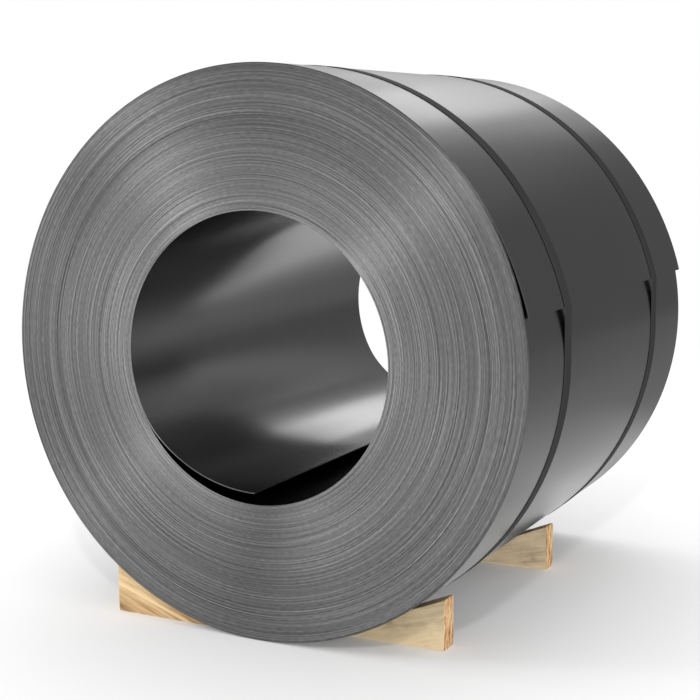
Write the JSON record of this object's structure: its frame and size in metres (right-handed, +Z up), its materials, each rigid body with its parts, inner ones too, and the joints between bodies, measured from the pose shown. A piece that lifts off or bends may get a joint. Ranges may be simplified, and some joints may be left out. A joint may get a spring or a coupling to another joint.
{
  "type": "steel coil",
  "caption": "Coil of slit steel strip with an open bore, lying on timber wedges and held by steel straps.",
  "frame": {"origin": "on the floor, under the middle of the coil", "axes": "+Y along the coil's axis from the front end to the rear end, +Z up; the strip's tail is on the +X side"},
  "size_m": [0.9937, 0.9081, 0.9945],
  "materials": {
    "coil_steel": "satin",
    "strap_steel": "satin",
    "seal_steel": "satin",
    "timber": "matte"
  },
  "bodies": {
    "root": {"coil": "coil_steel", "strap_front": "strap_steel", "strap_rear": "strap_steel", "strap_seal_front": "seal_steel", "strap_seal_rear": "seal_steel", "chock_front_right": "timber", "chock_front_left": "timber", "chock_rear_right": "timber", "chock_rear_left": "timber"}
  },
  "joints": []
}
